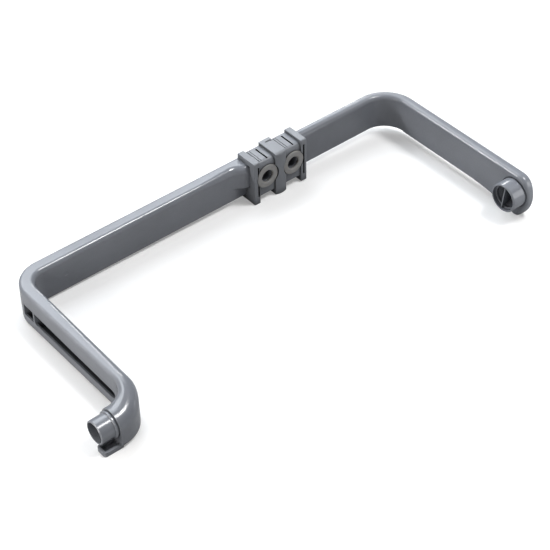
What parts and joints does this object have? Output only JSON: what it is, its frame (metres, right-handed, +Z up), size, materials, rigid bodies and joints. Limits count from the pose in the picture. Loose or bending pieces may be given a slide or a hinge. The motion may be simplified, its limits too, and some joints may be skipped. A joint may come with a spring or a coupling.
{
  "type": "dishwasher wash arm feed tube",
  "caption": "Moulded C-shaped water feed tube with a round supply spigot, a wide spray arm spigot and a docking block with ringed ports for the upper basket.",
  "frame": {"origin": "middle of the supply spigot on its own axis", "axes": "+X runs along the rail from the supply arm to the spray arm, against the way the supply spigot points, the arms reach toward -Y from the rail, and +Z is up with the C lying flat, feet down"},
  "size_m": [0.5743, 0.2441, 0.0615],
  "materials": {
    "tube": "glossy silver-grey polypropylene",
    "block": "satin silver-grey polypropylene",
    "seal": "pale beige-grey soft rubber"
  },
  "bodies": {
    "root": {"feed_tube": "tube", "docking_block": "block", "port_seal_supply_side": "seal", "port_seal_spray_side": "seal"}
  },
  "joints": []
}
